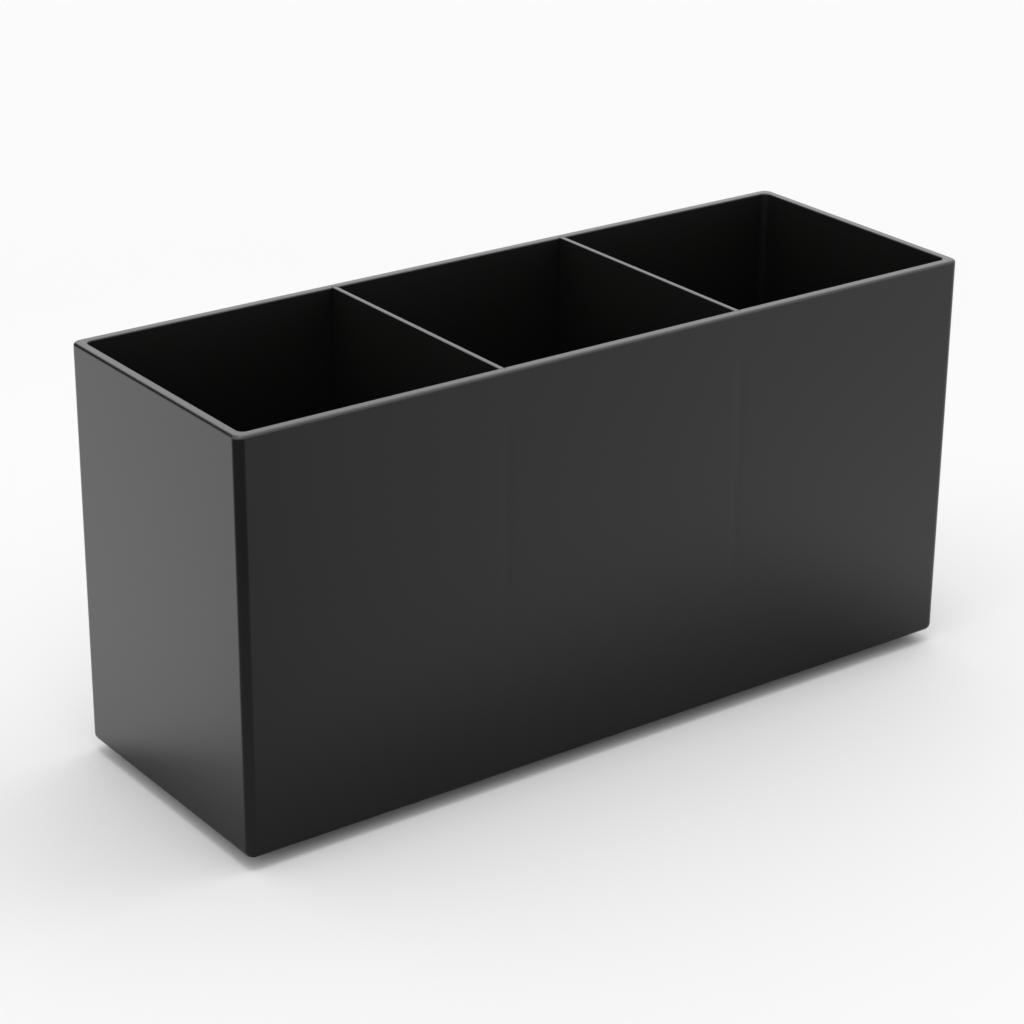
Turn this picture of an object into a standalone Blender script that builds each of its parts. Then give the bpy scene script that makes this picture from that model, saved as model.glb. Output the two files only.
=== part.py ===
# Utensil holder: a moulded bin, two divider panels bonded into channels in its walls and floor, and four
# rubber feet in shallow recesses under it. Metres, +Z up, the long side along X, the front facing -Y.
# The origin is on the table, under the middle of the bin.

import math

import bmesh
import bpy
from mathutils import Vector

# Bin, outside
BIN_LENGTH = 0.3050
BIN_WIDTH = 0.1070
BIN_HEIGHT = 0.1485  # from the underside to the rim, without the feet
OUTER_CORNER_RADIUS = 0.0032
UNDERSIDE_EDGE_RADIUS = 0.0026
RIM_OUTER_RADIUS = 0.0011

# Bin, inside
RIM_WALL = 0.0036  # wall at the rim, which the draft thickens towards the floor
FLOOR_THICKNESS = 0.0036
INNER_DRAFT = math.radians(0.3)
INNER_CORNER_RADIUS = 0.0026
FLOOR_FILLET_RADIUS = 0.0024
RIM_INNER_CHAMFER = 0.0004

# Dividers and their channels
DIVIDER_NAMES = ("divider_left", "divider_right")
DIVIDER_THICKNESS = 0.0020
DIVIDER_EDGE_RADIUS = 0.0003
CHANNEL_DEPTH = 0.0012  # into the walls and the floor
BOND_CLEARANCE = 0.0003  # all round a divider in its channel

# Feet and their recesses
FOOT_STAND = 0.0045  # from the table to the underside
FOOT_SEAT_DIAMETER = 0.0130
FOOT_FACE_DIAMETER = 0.0100  # the flat that rests on the table
FOOT_EDGE_RADIUS = 0.0010
FOOT_INSET = 0.0210  # from the bin's outer faces to a foot's centre
RECESS_DEPTH = 0.0009
SEAT_CLEARANCE = 0.0003  # round a foot and over it, in its recess

# Cutters run this far past the face that they open, and points this close on a foot's axis are one
OVERRUN = 0.0050
WELD_DISTANCE = 0.00001

# The most that an edge's radius takes of the radius of the corners that it runs round
EDGE_OF_CORNER_SHARE = 0.95

# Steps in the rounded edges
CORNER_STEPS = 8
EDGE_STEPS = 5
SMALL_EDGE_STEPS = 2
TURNED_STEPS = 40
SMOOTH_BELOW = math.radians(35)

# Finishes: colour, roughness
BIN_FINISH = ((0.020, 0.020, 0.021), 0.36)
DIVIDER_FINISH = ((0.020, 0.020, 0.021), 0.40)
RUBBER_FINISH = ((0.028, 0.028, 0.028), 0.80)

# Heights that the pieces share
UNDERSIDE = FOOT_STAND
RIM = UNDERSIDE + BIN_HEIGHT
FLOOR = UNDERSIDE + FLOOR_THICKNESS

# The opening at the rim
OPENING_LENGTH = BIN_LENGTH - 2 * RIM_WALL
OPENING_WIDTH = BIN_WIDTH - 2 * RIM_WALL


def clear_scene():
    for obj in list(bpy.data.objects):
        bpy.data.objects.remove(obj, do_unlink=True)


def new_collection(name):
    collection = bpy.data.collections.new(name)
    bpy.context.scene.collection.children.link(collection)
    return collection


def new_material(name, finish):
    colour, roughness = finish
    material = bpy.data.materials.new(name)
    material.use_nodes = True
    shader = material.node_tree.nodes["Principled BSDF"]
    shader.inputs["Base Color"].default_value = (*colour, 1.0)
    shader.inputs["Roughness"].default_value = roughness
    shader.inputs["Metallic"].default_value = 0.0
    material.diffuse_color = (*colour, 1.0)
    return material


def new_part(name, mesh, collection, material):
    part = bpy.data.objects.new(name, mesh)
    part.data.materials.append(material)
    collection.objects.link(part)
    return part


def new_cutter(name, mesh, collection):
    cutter = bpy.data.objects.new(name, mesh)
    cutter.hide_render = True
    cutter.display_type = "WIRE"
    collection.objects.link(cutter)
    return cutter


def mesh_from(bm, name):
    bmesh.ops.recalc_face_normals(bm, faces=bm.faces)
    mesh = bpy.data.meshes.new(name)
    bm.to_mesh(mesh)
    bm.free()
    mesh.shade_smooth()
    mesh.set_sharp_from_angle(angle=SMOOTH_BELOW)
    return mesh


# A box whose sides lean in by their draft towards the bottom. Its sizes are those at the rim's height.
def drafted_box(x_size, y_size, bottom, top, x_draft=0.0, y_draft=0.0):
    bm = bmesh.new()
    bmesh.ops.create_cube(bm, size=1.0)
    for vert in bm.verts:
        height = top if vert.co.z > 0.0 else bottom
        half_x = x_size / 2 + (height - RIM) * math.tan(x_draft)
        half_y = y_size / 2 + (height - RIM) * math.tan(y_draft)
        vert.co = Vector((math.copysign(half_x, vert.co.x), math.copysign(half_y, vert.co.y), height))
    return bm


def upright_edges(bm):
    return [edge for edge in bm.edges if len({vert.co.z for vert in edge.verts}) == 2]


def lowest_face(bm):
    return min(bm.faces, key=lambda face: face.calc_center_median().z)


def highest_face(bm):
    return max(bm.faces, key=lambda face: face.calc_center_median().z)


def round_edges(bm, edges, radius, steps):
    bmesh.ops.bevel(
        bm, geom=list(edges), offset=radius, offset_type="OFFSET", segments=steps, profile=0.5, affect="EDGES"
    )


# Carries the top face up and outwards, with new sides under it
def raise_top(bm, rise, spread):
    top = highest_face(bm)
    made = bmesh.ops.extrude_face_region(bm, geom=[top])["geom"]
    bm.faces.remove(top)
    for vert in (item for item in made if isinstance(item, bmesh.types.BMVert)):
        vert.co.x += math.copysign(spread, vert.co.x)
        vert.co.y += math.copysign(spread, vert.co.y)
        vert.co.z += rise


# The outer form: upright faces, round corners, a round edge under the bin and a smaller one at the rim
def outer_form():
    bm = drafted_box(BIN_LENGTH, BIN_WIDTH, UNDERSIDE, RIM)
    round_edges(bm, upright_edges(bm), OUTER_CORNER_RADIUS, CORNER_STEPS)
    most = OUTER_CORNER_RADIUS * EDGE_OF_CORNER_SHARE
    round_edges(bm, lowest_face(bm).edges, min(UNDERSIDE_EDGE_RADIUS, most), EDGE_STEPS)
    round_edges(bm, highest_face(bm).edges, min(RIM_OUTER_RADIUS, most), EDGE_STEPS)
    return mesh_from(bm, "bin_shell")


# What the bin holds: drafted walls, round corners, a fillet round the floor, and a chamfer at the rim
# that flares on past it.
def cavity_form():
    bm = drafted_box(OPENING_LENGTH, OPENING_WIDTH, FLOOR, RIM - RIM_INNER_CHAMFER, INNER_DRAFT, INNER_DRAFT)
    round_edges(bm, upright_edges(bm), INNER_CORNER_RADIUS, CORNER_STEPS)
    most = INNER_CORNER_RADIUS * EDGE_OF_CORNER_SHARE
    round_edges(bm, lowest_face(bm).edges, min(FLOOR_FILLET_RADIUS, most), EDGE_STEPS)
    flare = RIM_INNER_CHAMFER + OVERRUN
    raise_top(bm, flare, flare)
    return mesh_from(bm, "cavity")


# The middle planes of the dividers, which leave equal compartments between them
def divider_places():
    count = len(DIVIDER_NAMES)
    compartment = (OPENING_LENGTH - count * DIVIDER_THICKNESS) / (count + 1)
    pitch = compartment + DIVIDER_THICKNESS
    first = -pitch * (count - 1) / 2
    return [first + pitch * index for index in range(count)]


# A divider is a drafted panel from the channel in the floor up to the rim. Its channel is the same form
# with the bond's clearance all round, and open at the top.
def divider_form():
    reach = CHANNEL_DEPTH - BOND_CLEARANCE
    bm = drafted_box(DIVIDER_THICKNESS, OPENING_WIDTH + 2 * reach, FLOOR - reach, RIM, y_draft=INNER_DRAFT)
    return mesh_from(bm, "divider")


def channel_form():
    thickness = DIVIDER_THICKNESS + 2 * BOND_CLEARANCE
    width = OPENING_WIDTH + 2 * CHANNEL_DEPTH
    bm = drafted_box(thickness, width, FLOOR - CHANNEL_DEPTH, RIM + OVERRUN, y_draft=INNER_DRAFT)
    return mesh_from(bm, "channel")


def make_dividers(parts, material):
    for name, place in zip(DIVIDER_NAMES, divider_places()):
        divider = new_part(name, divider_form(), parts, material)
        divider.location.x = place
        edges = divider.modifiers.new("round edges", "BEVEL")
        edges.width = DIVIDER_EDGE_RADIUS
        edges.segments = SMALL_EDGE_STEPS
        edges.limit_method = "NONE"


# Feet stand in from the corners, one at each
def foot_places():
    x = BIN_LENGTH / 2 - FOOT_INSET
    y = BIN_WIDTH / 2 - FOOT_INSET
    return {
        "foot_front_left": (-x, -y),
        "foot_front_right": (x, -y),
        "foot_back_left": (-x, y),
        "foot_back_right": (x, y),
    }


# Half of a foot's section, from the axis at its top, down the leaning side and in over the round edge
def foot_section():
    top = UNDERSIDE + RECESS_DEPTH - SEAT_CLEARANCE
    face = FOOT_FACE_DIAMETER / 2
    section = [(0.0, top), (FOOT_SEAT_DIAMETER / 2, top), (FOOT_SEAT_DIAMETER / 2, UNDERSIDE)]
    for step in range(EDGE_STEPS + 1):
        angle = math.pi / 2 * step / EDGE_STEPS
        section.append((face + FOOT_EDGE_RADIUS * math.cos(angle), FOOT_EDGE_RADIUS * (1 - math.sin(angle))))
    section.append((0.0, 0.0))
    return section


def foot_form():
    bm = bmesh.new()
    verts = [bm.verts.new((radius, 0.0, height)) for radius, height in foot_section()]
    for upper, lower in zip(verts, verts[1:]):
        bm.edges.new((upper, lower))
    mesh = bpy.data.meshes.new("foot")
    bm.to_mesh(mesh)
    bm.free()
    return mesh


def make_feet(parts, material):
    for name, (x, y) in foot_places().items():
        foot = new_part(name, foot_form(), parts, material)
        foot.location = (x, y, 0.0)
        turn = foot.modifiers.new("turn", "SCREW")
        turn.steps = TURNED_STEPS
        turn.render_steps = TURNED_STEPS
        turn.use_merge_vertices = True
        turn.merge_threshold = WELD_DISTANCE
        turn.use_smooth_shade = True


def recess_form():
    bm = bmesh.new()
    radius = FOOT_SEAT_DIAMETER / 2 + SEAT_CLEARANCE
    bmesh.ops.create_cone(
        bm, cap_ends=True, segments=TURNED_STEPS, radius1=radius, radius2=radius, depth=RECESS_DEPTH + OVERRUN
    )
    return mesh_from(bm, "recess")


def make_cutters(cutters):
    made = [new_cutter("cut_cavity", cavity_form(), cutters)]
    for name, place in zip(DIVIDER_NAMES, divider_places()):
        channel = new_cutter(f"cut_{name}", channel_form(), cutters)
        channel.location.x = place
        made.append(channel)
    for name, (x, y) in foot_places().items():
        recess = new_cutter(f"cut_{name}", recess_form(), cutters)
        recess.location = (x, y, UNDERSIDE + (RECESS_DEPTH - OVERRUN) / 2)
        made.append(recess)
    return made


def make_shell(parts, cutters, material):
    shell = new_part("bin_shell", outer_form(), parts, material)
    for cutter in make_cutters(cutters):
        cut = shell.modifiers.new(cutter.name, "BOOLEAN")
        cut.operation = "DIFFERENCE"
        cut.solver = "EXACT"
        cut.object = cutter
    return shell


def main():
    clear_scene()
    parts = new_collection("utensil_holder")
    cutters = new_collection("cutters")
    make_shell(parts, cutters, new_material("satin black plastic", BIN_FINISH))
    make_dividers(parts, new_material("satin black sheet", DIVIDER_FINISH))
    make_feet(parts, new_material("black rubber", RUBBER_FINISH))


main()
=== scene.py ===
import math

import bmesh
import bpy
from mathutils import Matrix, Vector


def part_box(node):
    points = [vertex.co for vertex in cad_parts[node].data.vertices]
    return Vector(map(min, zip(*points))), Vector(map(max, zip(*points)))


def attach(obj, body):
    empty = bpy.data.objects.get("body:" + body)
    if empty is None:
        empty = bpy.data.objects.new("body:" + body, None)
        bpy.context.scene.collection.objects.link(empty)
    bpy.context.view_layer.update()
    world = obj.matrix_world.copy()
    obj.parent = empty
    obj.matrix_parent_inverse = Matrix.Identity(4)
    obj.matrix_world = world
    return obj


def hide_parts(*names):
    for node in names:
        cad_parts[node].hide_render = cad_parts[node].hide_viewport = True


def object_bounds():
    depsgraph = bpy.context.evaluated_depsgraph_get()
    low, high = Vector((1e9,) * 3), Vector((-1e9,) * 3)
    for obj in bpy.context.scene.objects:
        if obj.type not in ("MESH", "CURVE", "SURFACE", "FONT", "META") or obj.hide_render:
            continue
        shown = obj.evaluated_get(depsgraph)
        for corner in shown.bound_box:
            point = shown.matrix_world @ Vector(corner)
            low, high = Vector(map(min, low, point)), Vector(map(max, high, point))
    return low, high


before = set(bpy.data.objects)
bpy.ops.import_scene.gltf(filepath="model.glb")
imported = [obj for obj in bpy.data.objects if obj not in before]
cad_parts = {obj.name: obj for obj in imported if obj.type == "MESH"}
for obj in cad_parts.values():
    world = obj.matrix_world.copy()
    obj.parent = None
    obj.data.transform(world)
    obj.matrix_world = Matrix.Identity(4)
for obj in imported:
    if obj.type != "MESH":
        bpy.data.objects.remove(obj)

cadLow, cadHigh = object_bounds()
print("loaded", len(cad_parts), "solids")


# Small helpers for modelling by hand

helpers = {
    "roundSteps": 48,  # sides of a turned piece
    "sameHeight": 1e-6,
    "facing": 0.9999,  # how squarely a flat looks up or down
    "upright": 10,  # an upright edge rises this many times further than it runs
    "flatsWeight": 90,  # how far the large flats straighten the shading beside them
}


def deselectAll():
    if bpy.context.object and bpy.context.object.mode != "OBJECT":
        bpy.ops.object.mode_set(mode="OBJECT")
    bpy.ops.object.select_all(action="DESELECT")


def makeActive(*pieces):
    deselectAll()
    for piece in pieces:
        piece.select_set(True)
    bpy.context.view_layer.objects.active = pieces[0]


def addBlock(name, low, high):
    deselectAll()
    middle = [(a + b) / 2 for a, b in zip(low, high)]
    size = [b - a for a, b in zip(low, high)]
    bpy.ops.mesh.primitive_cube_add(size=1, location=middle, scale=size)
    bpy.ops.object.transform_apply(location=True, rotation=True, scale=True)
    block = bpy.context.object
    block.name = name
    return block


def addRound(name, radius, low, high, place):
    deselectAll()
    middle = (place[0], place[1], (low + high) / 2)
    steps = helpers["roundSteps"]
    bpy.ops.mesh.primitive_cylinder_add(vertices=steps, radius=radius, depth=high - low, location=middle)
    bpy.ops.object.transform_apply(location=True, rotation=True, scale=True)
    turned = bpy.context.object
    turned.name = name
    return turned


def addPlane(name, size):
    deselectAll()
    bpy.ops.mesh.primitive_plane_add(size=size, location=(0, 0, 0))
    plane = bpy.context.object
    plane.name = name
    return plane


def pick(piece, kind, wanted):  # edit mode, with only the wanted faces or edges selected
    makeActive(piece)
    bpy.ops.object.mode_set(mode="EDIT")
    bpy.ops.mesh.select_mode(type=kind)
    bpy.ops.mesh.select_all(action="DESELECT")
    mesh = bmesh.from_edit_mesh(piece.data)
    for item in mesh.faces if kind == "FACE" else mesh.edges:
        if wanted(item):
            item.select_set(True)
    bmesh.update_edit_mesh(piece.data)


def roundPicked(radius, steps):
    bpy.ops.mesh.bevel(
        offset_type="OFFSET", offset=radius, segments=steps, profile=0.5, affect="EDGES", clamp_overlap=False)
    bpy.ops.object.mode_set(mode="OBJECT")


def atHeight(height):
    return lambda edge: all(abs(vert.co.z - height) < helpers["sameHeight"] for vert in edge.verts)


def isUpright(edge):
    a, b = (vert.co for vert in edge.verts)
    return abs(a.z - b.z) > helpers["upright"] * (a.xy - b.xy).length


def facesDown(face):
    return face.normal.z < -helpers["facing"]


def facesUp(face):
    return face.normal.z > helpers["facing"]


def cutWith(piece, cutters):
    for cutter in cutters:
        makeActive(piece)
        bpy.ops.object.modifier_add(type="BOOLEAN")
        cut = piece.modifiers[-1]
        cut.operation = "DIFFERENCE"
        cut.solver = "EXACT"
        cut.object = cutter
        bpy.ops.object.modifier_apply(modifier=cut.name)
    for cutter in cutters:
        bpy.data.objects.remove(cutter, do_unlink=True)


def finishSurface(piece, smoothBelow):  # smooth over the rounds, with the flats kept flat
    makeActive(piece)
    bpy.ops.object.shade_smooth_by_angle(angle=math.radians(smoothBelow))
    bpy.ops.object.modifier_add(type="WEIGHTED_NORMAL")
    weighted = piece.modifiers[-1]
    weighted.mode = "FACE_AREA"
    weighted.weight = helpers["flatsWeight"]
    weighted.keep_sharp = True
    bpy.ops.object.modifier_apply(modifier=weighted.name)


def copyAs(piece, name, shift):
    made = piece.copy()
    made.data = piece.data.copy()
    made.name = name
    bpy.context.scene.collection.objects.link(made)
    made.data.transform(Matrix.Translation(shift))
    return made


def middleOf(node):
    low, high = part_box(node)
    return (low + high) / 2


# Moulded shell

shell = {
    "cornerRadius": 0.0032,
    "undersideRadius": 0.0026,
    "rimOuterRadius": 0.0011,
    "rimInnerRadius": 0.0005,
    "wall": 0.0036,
    "floorThickness": 0.0036,
    "innerDraft": 0.3,  # degrees
    "innerCornerRadius": 0.0026,
    "floorFillet": 0.0024,
    "cornerSteps": 14,
    "edgeSteps": 8,
    "rimSteps": 6,
    "smoothBelow": 35,  # degrees
    # the gates on the underside: shallow round dimples, each with a nub in its middle
    "gateRadius": 0.0038,
    "gateDepth": 0.0003,
    "gateNub": 0.0008,
    "gateNubWall": 0.0001,
    "gateNubRise": 0.7,  # as a share of the gate's depth
    "gateCutPast": 0.002,  # how far a cutter starts outside the face that it opens
}

shellLow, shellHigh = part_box("bin_shell")
underside, rim = shellLow.z, shellHigh.z
floorTop = underside + shell["floorThickness"]
openX = shellHigh.x - shell["wall"]
openY = shellHigh.y - shell["wall"]
lean = math.tan(math.radians(shell["innerDraft"]))


def draftTo(block, topX, topY, height):  # draws the lower end in, as the mould's draft does
    drawX = (topX - height * lean) / topX if topX else 1.0
    drawY = (topY - height * lean) / topY
    pick(block, "FACE", facesDown)
    bpy.ops.transform.resize(value=(drawX, drawY, 1.0))
    bpy.ops.object.mode_set(mode="OBJECT")


def rimEdge(edge, outwards):  # an edge of the rim whose wall faces away from the middle, or towards it
    walls = [face for face in edge.link_faces if not facesUp(face)]
    turned = [face.normal.xy.dot(face.calc_center_median().xy) * outwards for face in walls]
    return atHeight(rim)(edge) and any(turn > 0 for turn in turned)


def makeOutside():
    block = addBlock("binShell", shellLow, shellHigh)
    pick(block, "EDGE", isUpright)
    roundPicked(shell["cornerRadius"], shell["cornerSteps"])
    pick(block, "EDGE", atHeight(underside))
    roundPicked(shell["undersideRadius"], shell["edgeSteps"])
    pick(block, "FACE", facesUp)
    bpy.ops.mesh.delete(type="FACE")
    return block


def makeInside():
    block = addBlock("inside", (-openX, -openY, floorTop), (openX, openY, rim))
    draftTo(block, openX, openY, rim - floorTop)
    pick(block, "EDGE", isUpright)
    roundPicked(shell["innerCornerRadius"], shell["cornerSteps"])
    pick(block, "EDGE", atHeight(floorTop))
    roundPicked(shell["floorFillet"], shell["edgeSteps"])
    pick(block, "FACE", facesUp)
    bpy.ops.mesh.delete(type="FACE")
    bpy.ops.mesh.select_all(action="SELECT")
    bpy.ops.mesh.flip_normals()
    return block


def gateCutter(place):
    low, high = underside - shell["gateCutPast"], underside + shell["gateDepth"]
    cutter = addRound("gate", shell["gateRadius"], low, high, (place, 0))
    pick(cutter, "FACE", facesUp)
    bpy.ops.mesh.inset(thickness=shell["gateRadius"] - shell["gateNub"], depth=0)
    bpy.ops.mesh.inset(thickness=shell["gateNubWall"], depth=-shell["gateDepth"] * shell["gateNubRise"])
    bpy.ops.object.mode_set(mode="OBJECT")
    return cutter


# Divider panels

divider = {
    "thickness": 0.0020,
    "edgeRadius": 0.0003,
    "edgeSteps": 3,
    "smoothBelow": 35,  # degrees
    "seatDepth": 0.0009,  # how far it goes into the walls and the floor
    "cementedFit": 0.00001,  # what the cement leaves open in a channel
    "channelCutPast": 0.005,
}

dividerNodes = ("divider_left", "divider_right")


def dividerBlock(name, place, grow=0.0, top=0.0):
    half = divider["thickness"] / 2 + grow
    reach = openY + divider["seatDepth"] + grow
    low = floorTop - divider["seatDepth"] - grow
    block = addBlock(name, (place - half, -reach, low), (place + half, reach, rim + top))
    draftTo(block, None, reach, rim - low)
    return block


def channelCutter(node):
    return dividerBlock("channel", middleOf(node).x, divider["cementedFit"], divider["channelCutPast"])


def makeDivider(name, node):
    panel = dividerBlock(name, middleOf(node).x)
    pick(panel, "EDGE", lambda edge: True)
    roundPicked(divider["edgeRadius"], divider["edgeSteps"])
    finishSurface(panel, divider["smoothBelow"])
    return panel


# Rubber feet

foot = {
    "seatRadius": 0.0065,
    "faceRadius": 0.0060,
    "edgeRadius": 0.0010,
    "edgeSteps": 6,
    "smoothBelow": 50,  # degrees
    "seatClearance": 0.0003,
    "recessDepth": 0.0009,
    "recessCutPast": 0.003,
    # the moulder's dimple in the middle of the flat: its wall, then a dished ring
    "dimpleRadius": 0.0030,
    "dimpleDepth": 0.0003,
    "dimpleWall": 0.0004,
    "dishWidth": 0.0012,
    "dishDepth": 0.0001,
}

footNodes = {
    "footFrontLeft": "foot_front_left",
    "footFrontRight": "foot_front_right",
    "footBackLeft": "foot_back_left",
    "footBackRight": "foot_back_right",
}


def recessCutter(node):
    radius = foot["seatRadius"] + foot["seatClearance"]
    low, high = underside - foot["recessCutPast"], underside + foot["recessDepth"]
    return addRound("recess", radius, low, high, middleOf(node).xy)


def makeFoot(name, node):
    low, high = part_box(node)
    middle = middleOf(node)
    made = addRound(name, foot["seatRadius"], low.z, high.z, middle.xy)
    pick(made, "FACE", facesDown)
    draw = foot["faceRadius"] / foot["seatRadius"]
    bpy.ops.transform.resize(value=(draw, draw, 1), center_override=(middle.x, middle.y, low.z))
    bpy.ops.object.mode_set(mode="OBJECT")
    pick(made, "EDGE", atHeight(low.z))
    roundPicked(foot["edgeRadius"], foot["edgeSteps"])
    pick(made, "FACE", facesDown)
    bpy.ops.mesh.inset(thickness=foot["faceRadius"] - foot["edgeRadius"] - foot["dimpleRadius"], depth=0)
    bpy.ops.mesh.inset(thickness=foot["dimpleWall"], depth=-foot["dimpleDepth"])
    bpy.ops.mesh.inset(thickness=foot["dishWidth"], depth=-foot["dishDepth"])
    bpy.ops.object.mode_set(mode="OBJECT")
    finishSurface(made, foot["smoothBelow"])
    return made


# The bin is put together: outside and inside joined at the rim, then cut for dividers, feet and gates

def makeShell():
    outside, inside = makeOutside(), makeInside()
    makeActive(outside, inside)
    bpy.ops.object.join()
    pick(outside, "EDGE", lambda edge: edge.is_boundary)
    bpy.ops.mesh.bridge_edge_loops()
    bpy.ops.mesh.select_all(action="SELECT")
    bpy.ops.mesh.normals_make_consistent(inside=False)
    pick(outside, "EDGE", lambda edge: rimEdge(edge, 1))
    roundPicked(shell["rimOuterRadius"], shell["rimSteps"])
    pick(outside, "EDGE", lambda edge: rimEdge(edge, -1))
    roundPicked(shell["rimInnerRadius"], shell["rimSteps"])
    left, right = (middleOf(node).x for node in dividerNodes)
    cutters = [channelCutter(node) for node in dividerNodes]
    cutters.extend(recessCutter(node) for node in footNodes.values())
    cutters.extend(gateCutter(place) for place in (2 * left, 0.0, 2 * right))
    cutWith(outside, cutters)
    finishSurface(outside, shell["smoothBelow"])
    return outside


binShell = makeShell()
print("moulded shell", len(binShell.data.polygons), "faces")

dividerLeft = makeDivider("dividerLeft", "divider_left")
dividerRight = copyAs(dividerLeft, "dividerRight", middleOf("divider_right") - middleOf("divider_left"))
print("divider panels", len(dividerLeft.data.polygons), "faces each")

feet = {"footFrontLeft": makeFoot("footFrontLeft", "foot_front_left")}
for name, node in footNodes.items():
    if name not in feet:
        feet[name] = copyAs(feet["footFrontLeft"], name, middleOf(node) - middleOf("foot_front_left"))
print("feet", len(feet))


# Materials. A Wire is one node socket, and Python's signs on it add the nodes for the sum.

class Wire:
    def __init__(self, finish, socket):
        self.finish = finish
        self.socket = socket

    def maths(self, operation, *terms):
        return self.finish.node("ShaderNodeMath", {"operation": operation}, dict(enumerate(terms)))

    def __add__(self, other):
        return self.maths("ADD", self, other)

    def __radd__(self, other):
        return self.maths("ADD", other, self)

    def __sub__(self, other):
        return self.maths("SUBTRACT", self, other)

    def __rsub__(self, other):
        return self.maths("SUBTRACT", other, self)

    def __mul__(self, other):
        return self.maths("MULTIPLY", self, other)

    def __rmul__(self, other):
        return self.maths("MULTIPLY", other, self)

    def __truediv__(self, other):
        return self.maths("DIVIDE", self, other)

    def __rtruediv__(self, other):
        return self.maths("DIVIDE", other, self)

    def __pow__(self, other):
        return self.maths("POWER", self, other)

    def __rpow__(self, other):
        return self.maths("POWER", other, self)

    def __abs__(self):
        return self.maths("ABSOLUTE", self)

    def above(self, other):  # the larger of the two
        return self.maths("MAXIMUM", self, other)


class Finish:
    def __init__(self, name, holder=None):
        self.holder = holder or bpy.data.materials.new(name)
        self.holder.use_nodes = True
        self.tree = self.holder.node_tree
        self.tree.nodes.clear()

    def node(self, kind, settings=None, values=None, output=0):
        made = self.tree.nodes.new(kind)
        for name, value in (settings or {}).items():
            setattr(made, name, value)
        for name, value in (values or {}).items():
            if isinstance(value, Wire):
                self.tree.links.new(value.socket, made.inputs[name])
            else:
                made.inputs[name].default_value = value
        return Wire(self, made.outputs[output]) if made.outputs else None

    def place(self):
        return self.node("ShaderNodeTexCoord", output="Object")

    def along(self, axis):
        return self.node("ShaderNodeSeparateXYZ", values={0: self.place()}, output=axis)

    def noise(self, scale, detail, roughness=0.5):
        values = {"Vector": self.place(), "Scale": scale, "Detail": detail, "Roughness": roughness}
        return self.node("ShaderNodeTexNoise", {"noise_dimensions": "3D"}, values)

    def blendColour(self, share, first, second):
        values = {0: share, 6: (*first, 1), 7: (*second, 1)}
        return self.node("ShaderNodeMix", {"data_type": "RGBA"}, values, output=2)

    def bump(self, height, distance):
        return self.node("ShaderNodeBump", values={"Height": height, "Distance": distance, "Strength": 1.0})

    def smoothStep(self, value, start, end):  # 0 at start, 1 at end
        values = {0: value, 1: start, 2: end, 3: 0.0, 4: 1.0}
        return self.node("ShaderNodeMapRange", {"interpolation_type": "SMOOTHSTEP"}, values)

    def surface(self, values):
        shader = self.node("ShaderNodeBsdfPrincipled", values=values)
        self.node("ShaderNodeOutputMaterial", values={"Surface": shader})
        return self.holder

    def black(self):
        return self.node("ShaderNodeBsdfDiffuse", values={"Color": (0, 0, 0, 1)})


satinPlastic = {
    "colour": (0.0068, 0.0068, 0.0064),
    "worn": (0.0086, 0.0086, 0.0081),
    "ior": 1.70,
    "specular": 0.5,
    "roughness": 0.26,  # at its glossiest
    "cloudScale": 9.0,
    "cloudDetail": 3.0,
    "cloudDulls": 0.05,
    "grainScale": 2600.0,
    "grainDetail": 2.0,
    "grainRoughness": 0.6,
    "grainDulls": 0.03,
    "grainHeight": 0.000006,
    # sink marks outside the dividers: how deep and wide, and the heights where they rise and fade
    "sinkDepth": 0.00010,
    "sinkWidth": 0.0022,
    "sinkRises": (0.025, 0.055),
    "sinkFades": (0.123, 0.147),
}


def satinBlack(name, sinkMarks=False):
    finish = Finish(name)
    cloud = finish.noise(satinPlastic["cloudScale"], satinPlastic["cloudDetail"])
    grain = finish.noise(satinPlastic["grainScale"], satinPlastic["grainDetail"], satinPlastic["grainRoughness"])
    relief = grain * satinPlastic["grainHeight"]
    if sinkMarks:
        across, height = finish.along("X"), finish.along("Z")
        rises = finish.smoothStep(height, *satinPlastic["sinkRises"])
        fades = finish.smoothStep(height, *satinPlastic["sinkFades"])
        shown = rises * (1.0 - fades)
        for node in dividerNodes:
            off = (across - middleOf(node).x) / satinPlastic["sinkWidth"]
            dip = math.e ** (off * off * -1.0)
            relief = relief - dip * shown * satinPlastic["sinkDepth"]
    dulled = cloud * satinPlastic["cloudDulls"] + grain * satinPlastic["grainDulls"]
    return finish.surface({
        "Base Color": finish.blendColour(cloud, satinPlastic["colour"], satinPlastic["worn"]),
        "Roughness": dulled + satinPlastic["roughness"],
        "IOR": satinPlastic["ior"],
        "Specular IOR Level": satinPlastic["specular"],
        "Normal": finish.bump(relief, 1.0),
    })


blackRubber = {
    "colour": (0.018, 0.018, 0.018),
    "dusty": (0.040, 0.039, 0.038),
    "dustScale": 260.0,
    "dustDetail": 4.0,
    "dustRoughness": 0.6,
    "dustEdge": (0.4, 0.75),
    "dustDulls": 0.12,
    "roughness": 0.72,
    "specular": 0.35,
    "poreScale": 3400.0,
    "poreDetail": 1.0,
    "poreDepth": 0.00003,
}


def feetRubber():
    finish = Finish("blackRubber")
    dust = finish.noise(blackRubber["dustScale"], blackRubber["dustDetail"], blackRubber["dustRoughness"])
    pores = finish.noise(blackRubber["poreScale"], blackRubber["poreDetail"])
    dusty = finish.smoothStep(dust, *blackRubber["dustEdge"])
    return finish.surface({
        "Base Color": finish.blendColour(dusty, blackRubber["colour"], blackRubber["dusty"]),
        "Roughness": dust * blackRubber["dustDulls"] + blackRubber["roughness"],
        "Specular IOR Level": blackRubber["specular"],
        "Normal": finish.bump(pores, blackRubber["poreDepth"]),
    })


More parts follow.
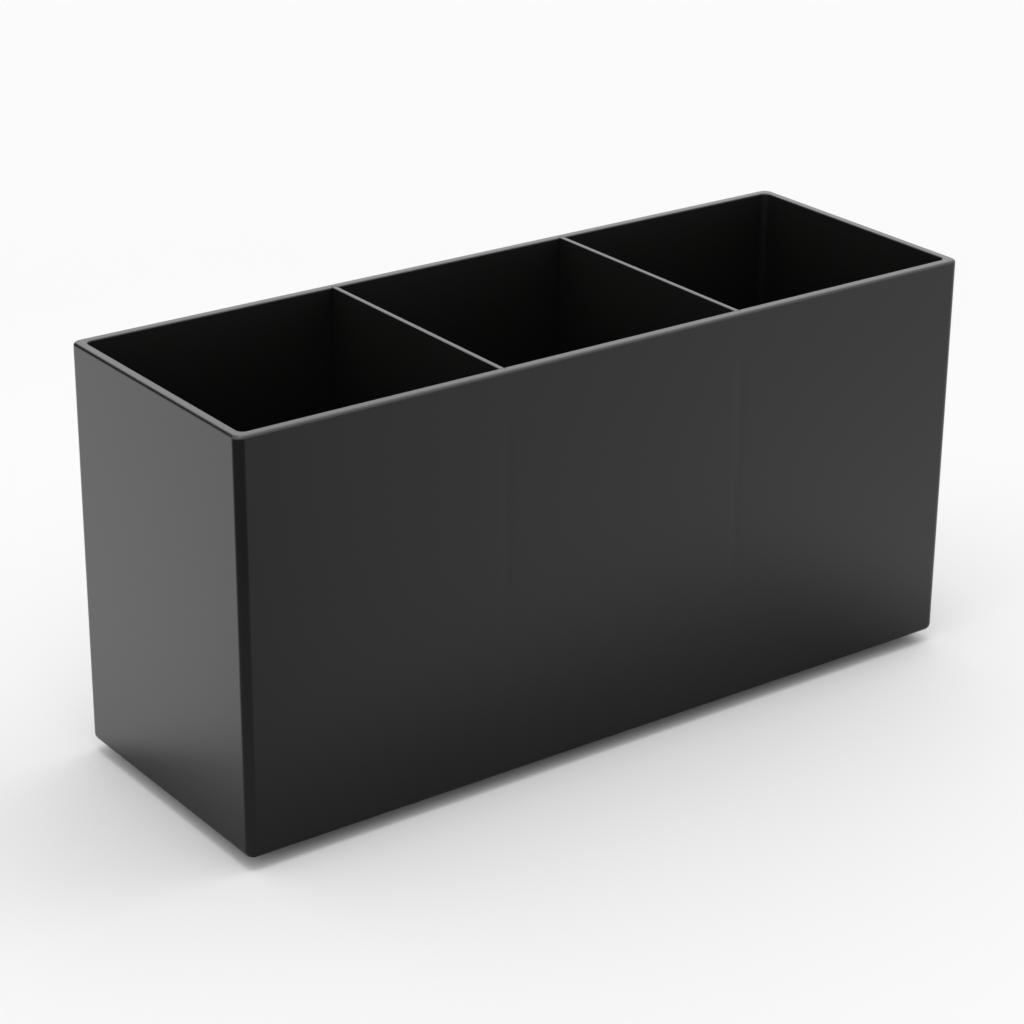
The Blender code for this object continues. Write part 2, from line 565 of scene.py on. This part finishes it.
def dress(piece, material, node):
    piece.data.materials.clear()
    piece.data.materials.append(material)
    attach(piece, "root")
    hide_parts(node)


binPlastic = satinBlack("satinBlackPlastic", sinkMarks=True)
dividerPlastic = satinBlack("satinBlackSheet")
footRubber = feetRubber()
dress(binShell, binPlastic, "bin_shell")
dress(dividerLeft, dividerPlastic, "divider_left")
dress(dividerRight, dividerPlastic, "divider_right")
for name, piece in feet.items():
    dress(piece, footRubber, footNodes[name])
print("finishes done")


# Table and studio

table = {
    "size": 8.0,
    # painted pool of light: the table's colour is lighter near the object
    "paintedPoolColour": (0.912, 0.912, 0.912),
    "far": (0.864, 0.864, 0.864),
    "paintedPoolFade": (0.18, 0.55),  # how far out the painted pool of light, the lighter colour near the object, gives way to the far one
    "cloudScale": 3.0,
    "cloudDetail": 2.0,
    "cloudShare": 0.2,
    "roughness": 0.8,
}


def makeTable():
    made = addPlane("paleTable", table["size"])
    finish = Finish("paleTable")
    cloud = finish.noise(table["cloudScale"], table["cloudDetail"])
    x, y = finish.along("X"), finish.along("Y")
    # The table's colour is painted lighter near the object, a painted pool of light that lifts the shadow around
    # it.
    outsidePaintedPool = finish.smoothStep((x * x + y * y) ** 0.5, *table["paintedPoolFade"])
    share = outsidePaintedPool * (1.0 - table["cloudShare"]) + cloud * table["cloudShare"]
    made.data.materials.append(finish.surface({
        "Base Color": finish.blendColour(share, table["paintedPoolColour"], table["far"]),
        "Roughness": table["roughness"],
        "Specular IOR Level": 0.0,
    }))


studio = {
    "white": 0.965,  # of the background
    "fill": 0.715,
    # lights: where each stands, as azimuth from +X and height in degrees, how wide it looks, and its strength
    "lights": {
        "overheadLight": (215, 84, 22, 0.56),
        "topLight": (0, 88, 80, 0.28),
        "backLight": (50, 22, 36, 0.155),
        "rightHighLight": (0, 52, 40, 0.35),
        "leftLowLight": (180, 16, 40, 0.25),
    },
}


def makeWorld():
    world = bpy.data.worlds.new("studio")
    bpy.context.scene.world = world
    sky = Finish("studio", world)
    kinds = ("Is Camera Ray", "Is Glossy Ray", "Is Transmission Ray")
    direct, glossy, through = (sky.node("ShaderNodeLightPath", output=kind) for kind in kinds)
    fill = sky.node("ShaderNodeBackground", values={"Color": (1, 1, 1, 1), "Strength": studio["fill"]})
    white = sky.node("ShaderNodeBackground", values={"Color": (studio["white"],) * 3 + (1,), "Strength": 1.0})
    mixed = sky.node("ShaderNodeMixShader", values={0: direct.above(glossy.above(through)), 1: fill, 2: white})
    sky.node("ShaderNodeOutputWorld", values={"Surface": mixed})


def addLight(name, azimuth, height, width, strength):
    light = bpy.data.lights.new(name, "SUN")
    light.angle = math.radians(width)
    light.energy = strength
    lamp = bpy.data.objects.new(name, light)
    bpy.context.scene.collection.objects.link(lamp)
    a, h = math.radians(azimuth), math.radians(height)
    towards = Vector((math.cos(a) * math.cos(h), math.sin(a) * math.cos(h), math.sin(h)))
    lamp.location = towards * 2
    lamp.rotation_euler = towards.to_track_quat("Z", "Y").to_euler()


# The room is dark on the photographer's side, and the satin plastic mirrors it. A darkened table and an upright
# black card are painted shade that stands for it, and only glossy rays see them.

darkTable = {
    "height": 0.001,
    "size": 6.0,
    # a black card fans out from the near corner, between two angles in degrees from +X
    "cardStart": (134.0, 138.0),
    "cardEnd": (290.0, 293.6),
    "cardNear": 0.83,  # how black it is at the corner
    "cardFar": 0.369,  # how far out it is fully black
    # a grey net goes on from the card's far edge
    "net": 0.70,
    "netFade": (291.8, 412.0),
    # a painted shadow darkens the table right beside the object, seen only in reflections: how dark it is, how far
    # it reaches, and the line where it stops along that side, as its place, slope and softness
    "shadowInFront": {"dark": 0.83, "reach": 0.270, "stop": 0.181, "slope": 0.22, "soft": 0.078},
    "shadowAtLeftEnd": {"dark": 0.62, "reach": 0.075, "stop": 0.0, "slope": 1.107, "soft": 0.0157},
}

darkCard = {
    "distance": 1.6,
    "azimuths": (95, 141),  # degrees from +X
    "heights": (3, 37),  # degrees
    "steps": 180,
}


def onlyInGloss(piece):
    piece.visible_camera = False
    piece.visible_diffuse = False
    piece.visible_shadow = False
    piece.visible_transmission = False
    piece.visible_volume_scatter = False


# Painted shadow: the table darkened beside the object, seen only in reflections.
def paintedShadowBeside(finish, beside, out, along, side):
    line = finish.smoothStep(out - along * side["slope"], side["stop"] - side["soft"], side["stop"] + side["soft"])
    return (1.0 - finish.smoothStep(beside, 0.0, side["reach"])) * (1.0 - line) * side["dark"]


def makeDarkTable():
    made = addPlane("darkTable", darkTable["size"])
    made.data.transform(Matrix.Translation((0, 0, darkTable["height"])))
    finish = Finish("darkTable")
    x, y = finish.along("X"), finish.along("Y")
    outX, outY = x + cadHigh.x, y + cadHigh.y  # from the near corner
    turn = outY.maths("ARCTAN2", outY * -1.0, outX * -1.0)
    angle = turn * math.degrees(1) + 180.0
    start = finish.smoothStep(angle, *darkTable["cardStart"])
    end = 1.0 - finish.smoothStep(angle, *darkTable["cardEnd"])
    far = finish.smoothStep((outX * outX + outY * outY) ** 0.5, 0.0, darkTable["cardFar"])
    fan = end * (far * (1.0 - darkTable["cardNear"]) + darkTable["cardNear"])
    net = (1.0 - end) * (1.0 - finish.smoothStep(angle, *darkTable["netFade"])) * darkTable["net"]
    besideX = (abs(x) - cadHigh.x).above(0.0)
    besideY = (abs(y) - cadHigh.y).above(0.0)
    beside = (besideX * besideX + besideY * besideY) ** 0.5
    shadowInFront = paintedShadowBeside(finish, beside, x, y * -1.0 - cadHigh.y, darkTable["shadowInFront"])
    shadowAtLeftEnd = paintedShadowBeside(finish, beside, outX * -1.0, cadHigh.y - y, darkTable["shadowAtLeftEnd"])
    onLeft = outX.maths("LESS_THAN", outX, 0.0)
    # the painted contact shadow, in front and at the left end
    paintedContactShadow = shadowAtLeftEnd * onLeft + shadowInFront * (1.0 - onLeft)
    clear = finish.node("ShaderNodeBsdfTransparent")
    dark = paintedContactShadow.above(start * (fan + net))
    mixed = finish.node("ShaderNodeMixShader", values={0: dark, 1: clear, 2: finish.black()})
    finish.node("ShaderNodeOutputMaterial", values={"Surface": mixed})
    made.data.materials.append(finish.holder)
    onlyInGloss(made)


def besideCard(face):
    middle = face.calc_center_median()
    start, end = darkCard["azimuths"]
    return not start < math.degrees(math.atan2(middle.y, middle.x)) % 360 < end


def makeDarkCard():
    far = darkCard["distance"]
    low, high = (far * math.tan(math.radians(height)) for height in darkCard["heights"])
    deselectAll()
    bpy.ops.mesh.primitive_cylinder_add(
        vertices=darkCard["steps"], radius=far, depth=high - low, end_fill_type="NOTHING",
        location=(0, 0, (low + high) / 2))
    bpy.ops.object.transform_apply(location=True, rotation=True, scale=True)
    card = bpy.context.object
    card.name = "darkCardBackLeft"
    pick(card, "FACE", besideCard)
    bpy.ops.mesh.delete(type="FACE")
    bpy.ops.object.mode_set(mode="OBJECT")
    # painted shade: a black card seen only in reflections
    finish = Finish("blackCard")
    finish.node("ShaderNodeOutputMaterial", values={"Surface": finish.black()})
    card.data.materials.append(finish.holder)
    onlyInGloss(card)


# Camera, at the photograph's angle

camera = {
    "azimuth": -0.6327361,
    "elevation": 0.4048897,
    "roll": 0.0078349,
    "distance": 1.0613441,
    "across": 0.0064659,  # how far the object's foot lies right of and above the view's middle
    "above": -0.0622410,
    "lift": 0.0045,
    "lens": 101.352,
    "sensor": 36.0,
    "nearest": 0.01,
    "furthest": 50.0,
}


def makeCamera():
    data = bpy.data.cameras.new("photoView")
    data.lens = camera["lens"]
    data.sensor_width = camera["sensor"]
    data.clip_start = camera["nearest"]
    data.clip_end = camera["furthest"]
    made = bpy.data.objects.new("photoView", data)
    bpy.context.scene.collection.objects.link(made)
    a, e, r = camera["azimuth"], camera["elevation"], camera["roll"]
    back = Vector((math.sin(a) * math.cos(e), -math.cos(a) * math.cos(e), math.sin(e)))
    level = (-back).cross(Vector((0, 0, 1))).normalized()
    upward = level.cross(-back)
    right = math.cos(r) * level + math.sin(r) * upward
    up = -math.sin(r) * level + math.cos(r) * upward
    place = -camera["across"] * right - camera["above"] * up + camera["distance"] * back
    place.z += camera["lift"]
    turn = Matrix((right, up, back)).transposed().to_4x4()
    made.matrix_world = Matrix.Translation(place) @ turn
    bpy.context.scene.camera = made


makeTable()
makeWorld()
makeDarkTable()
makeDarkCard()
for name, values in studio["lights"].items():
    addLight(name, *values)
makeCamera()
bpy.context.scene.view_settings.view_transform = "Standard"
print("table, lights and camera done")
